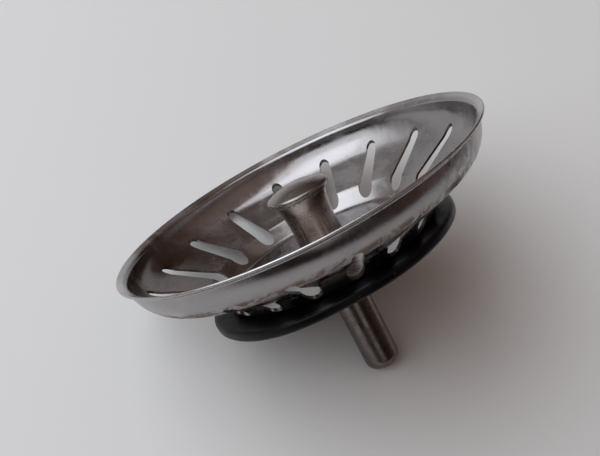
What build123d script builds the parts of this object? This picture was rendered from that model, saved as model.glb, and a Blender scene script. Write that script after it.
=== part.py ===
from build123d import *

import os

# Basket strainer plug for a kitchen sink waste, in millimetres.
# Z runs up the plug's axis. Z = 0 is the shoulder of the locating pin, against the clamp washer.
# From the shoulder up lie the clamp washer, the rubber seal, the pressed basket, a gasket and the
# hollow knob. One stud runs through them all, from the pin into the insert inside the knob.

# Stack on the axis
CLAMP_WASHER_T = 1.4
WASHER_SEAT_T = 0.4
SEAL_T = 2.3
SHEET_T = 0.5
GASKET_T = 0.8

SEAL_Z = CLAMP_WASHER_T - WASHER_SEAT_T
FLOOR_Z = SEAL_Z + SEAL_T + SHEET_T
KNOB_Z = FLOOR_Z + GASKET_T

# Basket: the inner face of the sheet, as radii and as heights above the inside of the floor.
# The corner radii run from the floor out to the lip.
FLOOR_R = 23.7
SHELF_R = 26.6
SHELF_H = 3.45
WALL_R = 39.6
BEND_H = 9.55
WALL_TOP_R = 39.8
WALL_TOP_H = 14.65
RIM_R = 41.7
BASKET_DEPTH = 15.75
CORNER_RADII = [1.5, 1.6, 7.5, 0.9]
RIM_EDGE_R = 0.2

# Drain slots, seen from above: tapered, with round ends
SLOT_COUNT = 18
SLOT_IN_R = 24.4
SLOT_OUT_R = 38.2
SLOT_IN_END_R = 1.85
SLOT_OUT_END_R = 1.3

# Stud, the tapped holes that take it and the plain holes that clear it
STUD_R = 2.45
TAPPED_R = 2.5
CLEAR_R = 2.75
STUD_IN_PIN = 8.0
STUD_IN_KNOB = 8.0
STUD_CHAMFER = 0.5

# Rubber seal and clamp washer, which sits in a shallow seat in the seal's underside
SEAL_R = 28.2
SEAL_EDGE_R = 0.8
WASHER_SEAT_R = 10.3
CLAMP_WASHER_R = 10.0
CLAMP_WASHER_EDGE = 0.25

# Locating pin: rounded end, and a blind tapped hole from the shoulder
PIN_R = 3.9
PIN_L = 25.2
PIN_END_R = 2.4
PIN_HOLE_L = 9.5
PIN_CHAMFER = 0.3

# Knob: a hollow drawn shell on a gasket. Heights are above the shell's foot.
GASKET_R = 5.0
KNOB_SHEET_T = 0.6
FOOT_R = 5.35
FOOT_EDGE_R = 0.5
NECK_R = 4.85
NECK_H = 6.0
COLLAR_R = 6.0
COLLAR_H = 12.6
COLLAR_TOP_H = 13.6

# Cap: a pressed dome whose edge turns under, down to a lip around the shell's collar
CAP_SHEET_T = 0.6
CAP_R = 7.3
CAP_LIP_R = 6.35
CAP_LIP_H = 13.0
CAP_SEAT_H = 13.9
CAP_EDGE_H = 14.05
CAP_TOP_H = 15.75
CAP_EDGE_ROUND = 0.6
CAP_SEAT_ROUND = 0.3
CAP_LIP_ROUND = 0.12

# Insert: a tapped plug inside the shell's neck
INSERT_R = 4.1
INSERT_L = 9.0
INSERT_CHAMFER = 0.4


def cylinder(radius, low_z, high_z):
    """A cylinder about Z, from one height to another."""
    solid = Cylinder(radius, high_z - low_z, align=(Align.CENTER, Align.CENTER, Align.MIN))
    return Pos(0, 0, low_z) * solid


def turned(outline):
    """The solid that a closed outline, drawn as radius and height, sweeps about Z."""
    return revolve(Plane.XZ * make_face(outline), Axis.Z)


def circles_at(solid, radius):
    """The round edges of a solid that have this radius."""
    circles = solid.edges().filter_by(GeomType.CIRCLE)
    return circles.filter_by(lambda edge: abs(edge.radius - radius) < 1e-4)


def outermost_circles(solid):
    """The round edges of a solid with the two largest radii, which bound its rim."""
    circles = solid.edges().filter_by(GeomType.CIRCLE)
    full = circles.filter_by(lambda edge: edge.is_closed)
    return full.sort_by(lambda edge: edge.radius)[-2:]


def pressed_sheet():
    """The basket before it is slotted: flat floor, steep step, sloping wall that bends upright, lip."""
    inner_face = FilletPolyline(
        (CLEAR_R, FLOOR_Z),
        (FLOOR_R, FLOOR_Z),
        (SHELF_R, FLOOR_Z + SHELF_H),
        (WALL_R, FLOOR_Z + BEND_H),
        (WALL_TOP_R, FLOOR_Z + WALL_TOP_H),
        (RIM_R, FLOOR_Z + BASKET_DEPTH),
        radius=CORNER_RADII,
    )
    section = offset(inner_face, amount=SHEET_T, side=Side.RIGHT)
    sheet = turned(section.edges())
    return fillet(outermost_circles(sheet), RIM_EDGE_R)


def slot_cutter():
    """One drain slot as an upright prism along +X."""
    inner_end = Pos(SLOT_IN_R + SLOT_IN_END_R, 0) * Circle(SLOT_IN_END_R)
    outer_end = Pos(SLOT_OUT_R - SLOT_OUT_END_R, 0) * Circle(SLOT_OUT_END_R)
    outline = make_hull((inner_end + outer_end).edges())
    return extrude(outline, FLOOR_Z + BASKET_DEPTH)


def strainer_basket():
    """The pressed basket with its ring of radial drain slots."""
    pitch = 360 / SLOT_COUNT
    slots = [Rot(0, 0, index * pitch) * slot_cutter() for index in range(SLOT_COUNT)]
    return pressed_sheet() - slots


def rubber_seal():
    """A flat disc with a rounded rim and a shallow seat for the washer that clamps it."""
    disc = cylinder(SEAL_R, SEAL_Z, SEAL_Z + SEAL_T)
    disc = fillet(circles_at(disc, SEAL_R), SEAL_EDGE_R)
    seat = cylinder(WASHER_SEAT_R, SEAL_Z, CLAMP_WASHER_T)
    return disc - seat - cylinder(STUD_R, SEAL_Z, SEAL_Z + SEAL_T)


def clamp_washer():
    """A washer that spreads the pin's clamping load over the rubber."""
    disc = cylinder(CLAMP_WASHER_R, 0, CLAMP_WASHER_T)
    disc = chamfer(circles_at(disc, CLAMP_WASHER_R), CLAMP_WASHER_EDGE)
    return disc - cylinder(CLEAR_R, 0, CLAMP_WASHER_T)


def locating_pin():
    """A round-ended pin that drops into the waste, tapped at the top for the stud."""
    pin = cylinder(PIN_R, -PIN_L, 0)
    pin = chamfer(pin.edges().group_by(Axis.Z)[-1], PIN_CHAMFER)
    pin = fillet(pin.edges().group_by(Axis.Z)[0], PIN_END_R)
    return pin - cylinder(TAPPED_R, -PIN_HOLE_L, 0)


def threaded_stud():
    """The stud that ties the stack together, drawn at its major diameter."""
    stud = cylinder(STUD_R, -STUD_IN_PIN, KNOB_Z + STUD_IN_KNOB)
    return chamfer(circles_at(stud, STUD_R), STUD_CHAMFER)


def knob_gasket():
    """A soft washer that keeps water out of the stud's hole."""
    return cylinder(GASKET_R, FLOOR_Z, KNOB_Z) - cylinder(STUD_R, FLOOR_Z, KNOB_Z)


def knob_outline(inset):
    """Half the shell's outline, waisted at the neck and flared to the collar."""
    foot = (FOOT_R - inset, KNOB_Z + inset)
    neck = (NECK_R - inset, KNOB_Z + NECK_H)
    collar = (COLLAR_R - inset, KNOB_Z + COLLAR_H)
    top = (COLLAR_R - inset, KNOB_Z + COLLAR_TOP_H)
    waist = Spline(foot, neck, collar, tangents=[(-0.15, 1), (0.5, 1)])
    rest = Polyline(collar, top, (0, top[1]), (0, foot[1]), foot)
    return waist.edges() + rest.edges()


def knob_shell():
    """The knob's hollow drawn body, open at the top, with a hole for the stud in its foot."""
    outside = turned(knob_outline(0))
    outside = fillet(circles_at(outside, FOOT_R), FOOT_EDGE_R)
    hollow = turned(knob_outline(KNOB_SHEET_T))
    return outside - hollow - cylinder(CLEAR_R, KNOB_Z, KNOB_Z + KNOB_SHEET_T)


def knob_insert():
    """A plug inside the knob's neck that the stud screws into."""
    low_z = KNOB_Z + KNOB_SHEET_T
    plug = cylinder(INSERT_R, low_z, low_z + INSERT_L)
    plug = chamfer(circles_at(plug, INSERT_R), INSERT_CHAMFER)
    return plug - cylinder(TAPPED_R, low_z, low_z + INSERT_L)


def domed_plug(radius, edge_z, lip_radius, lip_z, top_z, edge_round):
    """A round plug with a domed top and a rounded edge, from which it narrows down to its lip."""
    top = (0, top_z)
    edge = (radius, edge_z)
    arc = TangentArc(top, edge, tangent=(1, 0))
    sides = Polyline(edge, (lip_radius, lip_z), (0, lip_z), top)
    plug = turned(arc.edges() + sides.edges())
    top_edge = circles_at(plug, radius).sort_by(Axis.Z)[-1]
    return fillet(top_edge, edge_round)


def knob_cap():
    """The cap: a domed disc whose edge turns under to a lip around the shell's collar."""
    lip_z = KNOB_Z + CAP_LIP_H
    edge_z = KNOB_Z + CAP_EDGE_H
    seat_z = KNOB_Z + CAP_SEAT_H
    top_z = KNOB_Z + CAP_TOP_H
    outside = domed_plug(CAP_R, edge_z, CAP_LIP_R, lip_z, top_z, CAP_EDGE_ROUND)
    outside = fillet(circles_at(outside, CAP_LIP_R), CAP_LIP_ROUND)
    hollow = domed_plug(COLLAR_R, seat_z, COLLAR_R, lip_z, top_z - CAP_SHEET_T, CAP_SEAT_ROUND)
    return outside - hollow


pieces = {
    "strainer_basket": strainer_basket(),
    "rubber_seal": rubber_seal(),
    "clamp_washer": clamp_washer(),
    "locating_pin": locating_pin(),
    "threaded_stud": threaded_stud(),
    "knob_gasket": knob_gasket(),
    "knob_shell": knob_shell(),
    "knob_insert": knob_insert(),
    "knob_cap": knob_cap(),
}

os.makedirs("parts", exist_ok=True)
for name, solid in pieces.items():
    export_step(solid, f"parts/{name}.step")
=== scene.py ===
import math

import bpy
from mathutils import Matrix, Vector


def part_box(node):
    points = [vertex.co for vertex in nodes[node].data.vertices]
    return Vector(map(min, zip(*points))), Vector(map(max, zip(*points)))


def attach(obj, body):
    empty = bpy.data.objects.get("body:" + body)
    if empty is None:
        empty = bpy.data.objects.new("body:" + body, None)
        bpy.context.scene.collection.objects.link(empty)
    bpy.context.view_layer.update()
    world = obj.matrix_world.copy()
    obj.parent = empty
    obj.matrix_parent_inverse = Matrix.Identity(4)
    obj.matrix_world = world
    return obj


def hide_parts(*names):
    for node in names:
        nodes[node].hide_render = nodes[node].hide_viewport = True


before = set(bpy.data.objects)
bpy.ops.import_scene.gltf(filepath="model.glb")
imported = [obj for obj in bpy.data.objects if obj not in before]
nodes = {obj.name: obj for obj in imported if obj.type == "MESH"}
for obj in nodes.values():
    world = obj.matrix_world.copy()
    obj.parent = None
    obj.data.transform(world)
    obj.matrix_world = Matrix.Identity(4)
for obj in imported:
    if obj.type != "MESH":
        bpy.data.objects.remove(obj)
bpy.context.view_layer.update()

# Camera, in the row frame
CAMERA_AT = Vector((0.0130, -0.2015, 0.0673))
CAMERA_LOOK = Vector((-0.0763, 0.9604, -0.2681)).normalized()
CAMERA_UP = Vector((0.4420, 0.2736, 0.8543)).normalized()
SENSOR_MM = 36.0
FOCAL_MM = 60.0

# Table: the plug lies on the tip of its pin and the side of its basket
TABLE_UP = Vector((0.3168, -0.628, 0.7108)).normalized()
TABLE_SIZE = 6.0
TABLE_COLOR = (0.80, 0.80, 0.79, 1.0)
# The table's painted shade, seen by every ray but the camera's, away from the plug
TABLE_REFLECTED_SHADE = (0.10, 0.075, 0.07, 1.0)

# Where a lit doorway stands in the room, low on the camera's side
DOORWAY = Vector((0.0763, -0.9604, -0.2681)).normalized()

# Table directions as the camera sees them: right along the picture, and away from the camera
camera_right = CAMERA_LOOK.cross(CAMERA_UP).normalized()
TABLE_AWAY = TABLE_UP.cross(camera_right).normalized()
TABLE_RIGHT = TABLE_AWAY.cross(TABLE_UP).normalized()

# Where the basket's wear and its painted shade lie, in metres. The rim and foot come from the
# frame. The other heights are above the foot, and the two places are in the row frame.
basket_low, basket_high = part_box("strainer_basket")
RIM_RADIUS = basket_high[0]
BASKET_FOOT = basket_low[2]
LIP_STARTS = RIM_RADIUS - 0.0017
LIP_ENDS = RIM_RADIUS - 0.0011
LIME_TOP = BASKET_FOOT + 0.0115
LIME_FULL = BASKET_FOOT + 0.004
FILM_TOP = BASKET_FOOT + 0.0135
FILM_FULL = BASKET_FOOT + 0.006
BEND_LINE = BASKET_FOOT + 0.0092
BEND_LINE_REACH = 0.0014
BEND_LINE_CORE = 0.0003
SPLASH = (0.0305, -0.0262, 0.0135)
SPLASH_REACH = 0.013
# The end of the inside where painted shade deepens the brown coat
SHADED_END = (-0.0360, -0.0040, 0.0140)
SHADED_END_REACH = 0.034

# A painted highlight on the knob's neck, a lighter streak where the neck shows a reflection.
# Heights are pressed to about a third, so that the spot is taller than it is wide.
NECK_HIGHLIGHT_PRESS = (1, 1, 0.35)
NECK_HIGHLIGHT = (-0.0003, -0.0049, 0.0042)
NECK_HIGHLIGHT_REACH = 0.0036
NECK_HIGHLIGHT_COLOR = (0.56, 0.465, 0.405, 1.0)

# Rubber seal, in metres. It has sagged on the side of the given direction around the axis, by the
# full amount where the cosine from that direction is over the given share.
seal_low, seal_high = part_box("rubber_seal")
SEAL_HOLE_RADIUS = 0.00245
SEAL_SEAT_RADIUS = 0.0103
SEAL_SEAT_DEPTH = 0.0004
SEAL_EDGE_ROUND = 0.0008
SEAL_SAG = 0.0011
SEAL_SAG_FROM = 0.012
SEAL_SAG_WAY = math.radians(190)
SEAL_SAG_FULL = 0.88
SEAL_TURN_STEPS = 180
SEAL_FACE_STEPS = 16
SEAL_EDGE_STEPS = 6
SEAL_SHARP_ANGLE = math.radians(40)


def axes_matrix(x_axis, y_axis, z_axis, at):
    """The matrix that turns an object to three axes and moves it to a place."""
    turn = Matrix((x_axis, y_axis, z_axis)).transposed().to_4x4()
    return Matrix.Translation(at) @ turn


def table_point(right, away, up):
    """A point given along the table's own directions, from the origin, in metres."""
    return TABLE_RIGHT * right + TABLE_AWAY * away + TABLE_UP * up


def link(item):
    bpy.context.scene.collection.objects.link(item)


def rgb(red, green, blue):
    return (red, green, blue, 1.0)


def make_camera():
    """A camera at the photographer's place, looking at the plug."""
    data = bpy.data.cameras.new("camera")
    data.sensor_width = SENSOR_MM
    data.lens = FOCAL_MM
    data.clip_start = 0.005
    data.clip_end = 20
    camera = bpy.data.objects.new("camera", data)
    link(camera)
    up = camera_right.cross(CAMERA_LOOK)
    camera.matrix_world = axes_matrix(camera_right, up, -CAMERA_LOOK, CAMERA_AT)
    bpy.context.scene.camera = camera


def area_light(name, at, width, height, radiance, color):
    """A soft panel that faces the plug, as bright as its radiance says, unseen by the camera."""
    data = bpy.data.lights.new(name, "AREA")
    data.shape = "RECTANGLE"
    data.size = width
    data.size_y = height
    data.energy = radiance * math.pi * width * height
    data.color = color
    lamp = bpy.data.objects.new(name, data)
    link(lamp)
    back = at.normalized()
    across = TABLE_UP.cross(back).normalized()
    lamp.matrix_world = axes_matrix(across, back.cross(across), back, at)
    lamp.visible_camera = False


class Nodes:
    """Short calls for building one node tree."""

    def __init__(self, tree):
        self.tree = tree
        tree.nodes.clear()

    def put(self, socket, value):
        """Links a node or socket to a socket, or sets the socket's own value."""
        if isinstance(value, bpy.types.Node):
            value = value.outputs[0]
        if isinstance(value, bpy.types.NodeSocket):
            self.tree.links.new(value, socket)
        else:
            socket.default_value = value

    def add(self, kind, inputs=None, **settings):
        node = self.tree.nodes.new(kind)
        for name, value in settings.items():
            setattr(node, name, value)
        for name, value in (inputs or {}).items():
            self.put(node.inputs[name], value)
        return node

    def math(self, operation, a, b=0.0):
        return self.add("ShaderNodeMath", {0: a, 1: b}, operation=operation)

    def product(self, *values):
        result = values[0]
        for value in values[1:]:
            result = self.math("MULTIPLY", result, value)
        return result

    def dot(self, a, b):
        node = self.add("ShaderNodeVectorMath", {0: a, 1: b}, operation="DOT_PRODUCT")
        return node.outputs["Value"]

    def step(self, value, low, high, out_low=0.0, out_high=1.0):
        """A smooth step from one output to another as a value goes from low to high."""
        ends = {"From Min": low, "From Max": high, "To Min": out_low, "To Max": out_high}
        inputs = {"Value": value, **ends}
        return self.add("ShaderNodeMapRange", inputs, interpolation_type="SMOOTHSTEP")

    def mix(self, factor, a, b):
        node = self.add("ShaderNodeMix", data_type="RGBA")
        for socket, value in zip((node.inputs[0], node.inputs[6], node.inputs[7]), (factor, a, b)):
            self.put(socket, value)
        return node.outputs[2]

    def noise(self, vector, scale, detail=3.0, roughness=0.55, distortion=0.0):
        inputs = {"Vector": vector, "Scale": scale, "Detail": detail, "Roughness": roughness}
        inputs["Distortion"] = distortion
        return self.add("ShaderNodeTexNoise", inputs).outputs[0]

    def bump(self, height, depth, normal=None):
        """A bump as deep as the depth, in metres, on top of another bump."""
        inputs = {"Height": height, "Distance": depth, "Strength": 1.0}
        if normal:
            inputs["Normal"] = normal
        return self.add("ShaderNodeBump", inputs)

    def object_place(self):
        """The shaded point on the plug, its Z, its distance from the axis and the way outward."""
        place = self.add("ShaderNodeTexCoord").outputs["Object"]
        x, y, z = self.add("ShaderNodeSeparateXYZ", {0: place}).outputs
        flat = self.add("ShaderNodeCombineXYZ", {0: x, 1: y})
        radius = self.add("ShaderNodeVectorMath", {0: flat}, operation="LENGTH").outputs["Value"]
        unit = self.add("ShaderNodeVectorMath", {0: flat}, operation="NORMALIZE").outputs[0]
        return place, z, radius, unit

    def grain(self, unit, radius, z, around, along):
        """Coordinates for lines drawn out around the axis, or along it, without a seam."""
        turned = self.add("ShaderNodeVectorMath", {0: unit, "Scale": around}, operation="SCALE")
        cos, sin, _ = self.add("ShaderNodeSeparateXYZ", {0: turned.outputs[0]}).outputs
        travel = self.math("MULTIPLY", self.math("SUBTRACT", z, radius), along)
        return self.add("ShaderNodeCombineXYZ", {0: cos, 1: sin, 2: travel})

    def near(self, place, centre, reach):
        """One at a place on the plug, falling to nothing at the given reach from it."""
        gap = self.add("ShaderNodeVectorMath", {0: place, 1: centre}, operation="DISTANCE")
        return self.step(gap.outputs["Value"], reach, reach * 0.2)


def new_material(name):
    material = bpy.data.materials.new(name)
    material.use_nodes = True
    return material, Nodes(material.node_tree)


def finish_material(n, inputs):
    shader = n.add("ShaderNodeBsdfPrincipled", inputs)
    n.add("ShaderNodeOutputMaterial", {"Surface": shader})


def make_world():
    """A dim warm room with a lit doorway, lighter overhead and by the window.

    The camera sees a pale backdrop instead."""
    world = bpy.data.worlds.new("room")
    bpy.context.scene.world = world
    world.use_nodes = True
    n = Nodes(world.node_tree)
    direction = n.add("ShaderNodeTexCoord").outputs["Generated"]
    height = n.dot(direction, tuple(TABLE_UP))
    left = n.dot(direction, tuple(-TABLE_RIGHT))
    toward = n.dot(direction, tuple(-TABLE_AWAY))
    sides = n.mix(n.step(left, 0.1, 0.75), rgb(0.102, 0.062, 0.050), rgb(0.42, 0.40, 0.395))
    walls = n.mix(n.step(toward, 0.1, 0.65), sides, rgb(0.030, 0.021, 0.020))
    doorway = n.step(n.dot(direction, tuple(DOORWAY)), 0.955, 0.995)
    opened = n.mix(doorway, walls, rgb(0.55, 0.47, 0.41))
    room = n.mix(n.step(height, 0.5, 0.95), opened, rgb(0.29, 0.225, 0.20))
    lit = n.add("ShaderNodeBackground", {"Color": room, "Strength": 1.0})
    plain = n.add("ShaderNodeBackground", {"Color": rgb(0.60, 0.59, 0.58), "Strength": 1.0})
    seen = n.add("ShaderNodeLightPath").outputs["Is Camera Ray"]
    surface = n.add("ShaderNodeMixShader", {0: seen, 1: lit, 2: plain})
    n.add("ShaderNodeOutputWorld", {"Surface": surface})


def make_table():
    """A plain pale table top that fades into the backdrop. Away from the plug it darkens to a
    painted shade, seen in reflections and bounce light but not by the camera.

    It is clear when seen from below."""
    lowest = min(TABLE_UP.dot(v.co) for node in nodes.values() for v in node.data.vertices)
    half = TABLE_SIZE / 2
    corners = [(-half, -half, 0), (half, -half, 0), (half, half, 0), (-half, half, 0)]
    mesh = bpy.data.meshes.new("table")
    mesh.from_pydata(corners, [], [(0, 1, 2, 3)])
    table = bpy.data.objects.new("table", mesh)
    link(table)
    table.matrix_world = axes_matrix(TABLE_RIGHT, TABLE_AWAY, TABLE_UP, TABLE_UP * lowest)
    material, n = new_material("table")
    spot = n.add("ShaderNodeTexCoord").outputs["Object"]
    distance = n.add("ShaderNodeVectorMath", {0: spot}, operation="LENGTH").outputs["Value"]
    # Painted shade: away from the plug the table darkens for every ray but the camera's
    reflected_shade = n.mix(n.step(distance, 0.08, 0.45), TABLE_COLOR, TABLE_REFLECTED_SHADE)
    seen = n.add("ShaderNodeLightPath").outputs["Is Camera Ray"]
    top = n.add("ShaderNodeBsdfDiffuse", {"Color": n.mix(seen, reflected_shade, TABLE_COLOR)})
    clear = n.add("ShaderNodeBsdfTransparent")
    below = n.add("ShaderNodeNewGeometry").outputs["Backfacing"]
    hidden = n.math("MAXIMUM", below, n.step(distance, 0.55, 0.95))
    surface = n.add("ShaderNodeMixShader", {0: hidden, 1: top, 2: clear})
    n.add("ShaderNodeOutputMaterial", {"Surface": surface})
    mesh.materials.append(material)


def basket_steel():
    """Worn polished sheet: faint spinning lines, dents, scratches, water marks and rust."""
    material, n = new_material("basket_steel")
    place, z, radius, unit = n.object_place()
    outward = n.add("ShaderNodeVectorMath", {0: unit, 1: (0, 0, -1)}, operation="ADD")
    facing = n.dot(n.add("ShaderNodeNewGeometry").outputs["True Normal"], outward)
    outside = n.step(facing, -0.1, 0.1)
    lip = n.step(radius, LIP_STARTS, LIP_ENDS)

    spun = n.noise(n.grain(unit, radius, z, 1.2, 5200.0), 1.0, 2.0)
    cloudy = n.noise(place, 130.0, 4.0, 0.6, 0.4)
    fine = n.noise(place, 900.0, 4.0, 0.65)
    speckled = n.noise(place, 420.0, 5.0, 0.7, 0.8)
    scratched = n.noise(n.grain(unit, radius, z, 90.0, 420.0), 1.0, 5.0, 0.75, 1.6)
    scratches = n.step(scratched, 0.66, 0.70)

    # Dried water and lime: pale, matt, with broken edges, thickest low on the outside
    low_outside = n.product(outside, n.step(z, LIME_TOP, LIME_FULL))
    patches = n.step(n.math("ADD", cloudy, n.math("MULTIPLY", fine, 0.35)), 0.62, 0.78)
    splashed = n.product(n.near(place, SPLASH, SPLASH_REACH), n.step(speckled, 0.42, 0.58))
    limed_low = n.product(patches, n.math("MAXIMUM", n.math("MULTIPLY", low_outside, 0.8), 0.12))
    lime = n.math("MAXIMUM", limed_low, splashed)

    # Old grime: brown where the outside turns under. Inside, a brown coat that is partly grime and
    # partly painted shade, deepest at the shaded end.
    outer_film = n.product(outside, n.step(z, FILM_TOP, FILM_FULL), n.step(cloudy, 0.34, 0.6))
    inside = n.math("SUBTRACT", 1.0, n.math("MAXIMUM", outside, lip))
    # Painted shade: the brown coat inside grows deepest at the shaded end
    painted_shade_end = n.near(place, SHADED_END, SHADED_END_REACH)
    shade_depth = n.step(painted_shade_end, 0.0, 0.6, 0.28, 1.2)
    inner_grime_and_shade = n.product(inside, n.step(cloudy, 0.75, 0.25, 0.5), shade_depth)
    grime_and_shade = n.math("MAXIMUM", outer_film, inner_grime_and_shade)

    # Rust: brown specks and runs low on the outside, and a broken brown line around the bend
    from_bend = n.math("ABSOLUTE", n.math("SUBTRACT", z, BEND_LINE))
    bend_band = n.step(from_bend, BEND_LINE_REACH, BEND_LINE_CORE)
    bend_line = n.product(outside, bend_band, n.step(speckled, 0.44, 0.56))
    specks = n.product(n.step(speckled, 0.58, 0.72), n.math("MAXIMUM", low_outside, 0.12))
    rust_specks = n.math("MAXIMUM", specks, n.math("MULTIPLY", bend_line, 0.9))

    clean = n.mix(cloudy, rgb(0.28, 0.262, 0.262), rgb(0.43, 0.422, 0.43))
    lipped = n.mix(n.math("MULTIPLY", lip, 0.6), clean, rgb(0.52, 0.505, 0.495))
    limed = n.mix(n.math("MULTIPLY", lime, 0.5), lipped, rgb(0.50, 0.475, 0.45))
    # The brown of grime outside, and of grime and painted shade inside
    grimed_and_shaded = n.mix(n.math("MULTIPLY", grime_and_shade, 0.75), limed, rgb(0.10, 0.075, 0.062))
    color = n.mix(n.math("MULTIPLY", rust_specks, 0.8), grimed_and_shaded, rgb(0.16, 0.085, 0.05))
    gloss = n.math("ADD", n.step(cloudy, 0.3, 0.7, 0.13, 0.25), n.math("MULTIPLY", spun, 0.05))
    dull = n.math("ADD", n.math("MULTIPLY", lime, 0.35), n.math("MULTIPLY", rust_specks, 0.4))
    roughness = n.math("ADD", gloss, dull)

    pressed = n.bump(n.noise(place, 55.0, 2.0), 0.00035)
    lined = n.bump(spun, 0.0000035, pressed)
    scored = n.bump(scratches, 0.000006, lined)
    crusted = n.bump(n.math("ADD", n.product(lime, fine), rust_specks), 0.00003, scored)
    inputs = {"Base Color": color, "Metallic": 1.0, "Roughness": roughness, "Normal": crusted}
    inputs["Anisotropic"] = 0.3
    inputs["Tangent"] = n.add("ShaderNodeTangent", direction_type="RADIAL", axis="Z")
    finish_material(n, inputs)
    return material


def turned_metal(name, dark, light, gloss, patina, patina_share, along=False, rubbed=0.0):
    """Turned or drawn metal with lines around it or along it, and a blotchy patina.

    A painted highlight, a lighter streak taller than wide, lies on it by the share given as rubbed."""
    material, n = new_material(name)
    place, z, radius, unit = n.object_place()
    around, travel = (26.0, 60.0) if along else (2.0, 4200.0)
    lines = n.noise(n.grain(unit, radius, z, around, travel), 1.0, 4.0, 0.6, 0.3)
    cloudy = n.noise(place, 260.0, 4.0, 0.6, 0.6)
    fine = n.noise(place, 1500.0, 4.0, 0.7)
    worn = n.step(n.math("ADD", cloudy, n.math("MULTIPLY", fine, 0.3)), 0.45, 0.90)
    bare = n.mix(lines, dark, light)
    aged = n.mix(n.math("MULTIPLY", worn, patina_share), bare, patina)
    flattened = n.add("ShaderNodeVectorMath", {0: place, 1: NECK_HIGHLIGHT_PRESS}, operation="MULTIPLY")
    # Painted highlight: a lighter streak on the neck, as strong as the rubbed share
    painted_highlight = n.math("MULTIPLY", n.near(flattened.outputs[0], NECK_HIGHLIGHT, NECK_HIGHLIGHT_REACH), rubbed)
    color = n.mix(painted_highlight, aged, NECK_HIGHLIGHT_COLOR)
    lined_gloss = n.step(lines, 0.3, 0.7, gloss - 0.05, gloss + 0.05)
    roughness = n.math("ADD", lined_gloss, n.math("MULTIPLY", worn, 0.16))
    lined = n.bump(lines, 0.000006)
    pitted = n.bump(n.math("MULTIPLY", worn, fine), 0.000012, lined)
    inputs = {"Base Color": color, "Metallic": 1.0, "Roughness": roughness, "Normal": pitted}
    finish_material(n, inputs)
    return material


def black_rubber(name, color, dusty):
    """Moulded black rubber: satin, faintly pitted, with mould rings, scuffs and specks of dust."""
    material, n = new_material(name)
    place, z, radius, unit = n.object_place()
    pits = n.noise(place, 1600.0, 3.0)
    cloudy = n.noise(place, 160.0, 4.0, 0.6, 0.5)
    rings = n.noise(n.grain(unit, radius, z, 1.0, 1600.0), 1.0, 2.0)
    specks = n.product(n.step(n.noise(place, 1150.0, 2.0, 0.5), 0.70, 0.76), dusty)
    scuffs = n.product(n.step(n.noise(place, 240.0, 5.0, 0.7, 1.0), 0.50, 0.75), dusty)
    rubbed = n.mix(n.math("MULTIPLY", scuffs, 0.3), color, rgb(0.016, 0.016, 0.020))
    dust = n.mix(n.math("MULTIPLY", specks, 0.5), rubbed, rgb(0.12, 0.11, 0.105))
    satin = n.step(cloudy, 0.3, 0.7, 0.30, 0.42)
    roughness = n.math("ADD", satin, n.math("MULTIPLY", scuffs, 0.15))
    ringed = n.bump(rings, 0.000008)
    skin = n.bump(n.math("ADD", pits, specks), 0.000012, ringed)
    inputs = {"Base Color": dust, "Roughness": roughness, "Normal": skin}
    inputs["Specular IOR Level"] = 0.18
    finish_material(n, inputs)
    return material


def ramped(value, low, high):
    """A smooth rise from zero to one as a number goes from low to high."""
    share = min(max((value - low) / (high - low), 0.0), 1.0)
    return share * share * (3 - 2 * share)


def seal_section():
    """The seal's section as radii and heights, once round, fine enough to bend."""
    low, high, outer = seal_low[2], seal_high[2], seal_high[0]
    edge = outer - SEAL_EDGE_ROUND
    face = edge - SEAL_SEAT_RADIUS
    steps = [SEAL_SEAT_RADIUS + face * i / SEAL_FACE_STEPS for i in range(SEAL_FACE_STEPS + 1)]
    turns = [math.pi / 2 * i / SEAL_EDGE_STEPS for i in range(1, SEAL_EDGE_STEPS + 1)]
    upper = [(SEAL_HOLE_RADIUS, high)] + [(r, high) for r in steps]
    lower = [(r, low) for r in reversed(steps)]
    seat_z = low + SEAL_SEAT_DEPTH
    seat = [(SEAL_SEAT_RADIUS, seat_z), (SEAL_HOLE_RADIUS, seat_z)]
    middle = high - SEAL_EDGE_ROUND
    rounding = [(SEAL_EDGE_ROUND * math.sin(t), SEAL_EDGE_ROUND * math.cos(t)) for t in turns]
    over = [(edge + out, middle + up) for out, up in rounding]
    under = [(r, low + high - z) for r, z in reversed(over)]
    return upper + over + under + lower + seat


def sagging_seal(material):
    """The seal as it has set in use: flat where it is clamped, with one side of its rim hanging."""
    section = seal_section()
    points = []
    for index in range(SEAL_TURN_STEPS):
        turn = 2 * math.pi * index / SEAL_TURN_STEPS
        side = ramped(math.cos(turn - SEAL_SAG_WAY), 0.0, SEAL_SAG_FULL)
        for radius, z in section:
            sag = SEAL_SAG * side * ramped(radius, SEAL_SAG_FROM, seal_high[0])
            points.append((radius * math.cos(turn), radius * math.sin(turn), z - sag))
    length = len(section)
    faces = []
    for index in range(SEAL_TURN_STEPS):
        here = index * length
        there = (index + 1) % SEAL_TURN_STEPS * length
        for i in range(length):
            j = (i + 1) % length
            faces.append((here + i, here + j, there + j, there + i))
    mesh = bpy.data.meshes.new("sagging_seal")
    mesh.from_pydata(points, [], faces)
    mesh.shade_smooth()
    mesh.set_sharp_from_angle(angle=SEAL_SHARP_ANGLE)
    mesh.materials.append(material)
    seal = bpy.data.objects.new("sagging_seal", mesh)
    link(seal)
    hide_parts("rubber_seal")
    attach(seal, "root")


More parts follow.
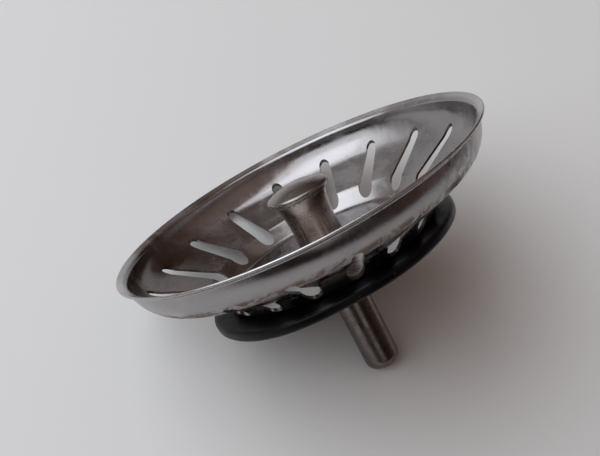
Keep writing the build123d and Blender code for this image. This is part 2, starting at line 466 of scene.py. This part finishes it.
def make_lights():
    """A wide window on the left, with a brighter patch of sky in it."""
    window = table_point(-0.60, 0.06, 0.72)
    sky = table_point(-0.57, 0.16, 0.72)
    area_light("window", window, 1.7, 1.15, 1.47, (0.91, 0.97, 1.03))
    area_light("window_sky", sky, 0.85, 0.6, 0.95, (0.88, 0.96, 1.06))


def make_finishes():
    """Each piece's material, by the piece's name. Colours go dark, light, then patina."""
    tarnished_plate = turned_metal(
        "tarnished_plate",
        rgb(0.15, 0.12, 0.105), rgb(0.27, 0.225, 0.20), 0.14,
        # rubbed sets the strength of the painted highlight on the neck
        rgb(0.10, 0.062, 0.046), 0.6, rubbed=0.8,
    )
    cap_steel = turned_metal(
        "cap_steel",
        rgb(0.21, 0.185, 0.17), rgb(0.34, 0.315, 0.295), 0.16,
        rgb(0.15, 0.115, 0.098), 0.7,
    )
    pin_steel = turned_metal(
        "pin_steel",
        rgb(0.10, 0.088, 0.082), rgb(0.29, 0.268, 0.26), 0.17,
        rgb(0.15, 0.115, 0.10), 0.8, along=True,
    )
    stud_steel = turned_metal(
        "stud_steel",
        rgb(0.42, 0.41, 0.40), rgb(0.56, 0.55, 0.54), 0.3,
        rgb(0.30, 0.20, 0.14), 0.4,
    )
    brass_insert = turned_metal(
        "brass_insert",
        rgb(0.52, 0.38, 0.17), rgb(0.70, 0.54, 0.27), 0.3,
        rgb(0.30, 0.20, 0.10), 0.5,
    )
    return {
        "strainer_basket": basket_steel(),
        "knob_cap": cap_steel,
        "knob_shell": tarnished_plate,
        "knob_insert": brass_insert,
        "knob_gasket": black_rubber("gasket_rubber", rgb(0.020, 0.020, 0.021), 0.5),
        "threaded_stud": stud_steel,
        "rubber_seal": black_rubber("seal_rubber", rgb(0.0028, 0.0024, 0.0034), 1.0),
        "clamp_washer": stud_steel,
        "locating_pin": pin_steel,
    }


bpy.context.scene.view_settings.view_transform = "Standard"
make_camera()
make_world()
make_table()
make_lights()

finishes = make_finishes()
for name, material in finishes.items():
    for material_slot in nodes[name].material_slots:
        material_slot.material = material
sagging_seal(finishes["rubber_seal"])
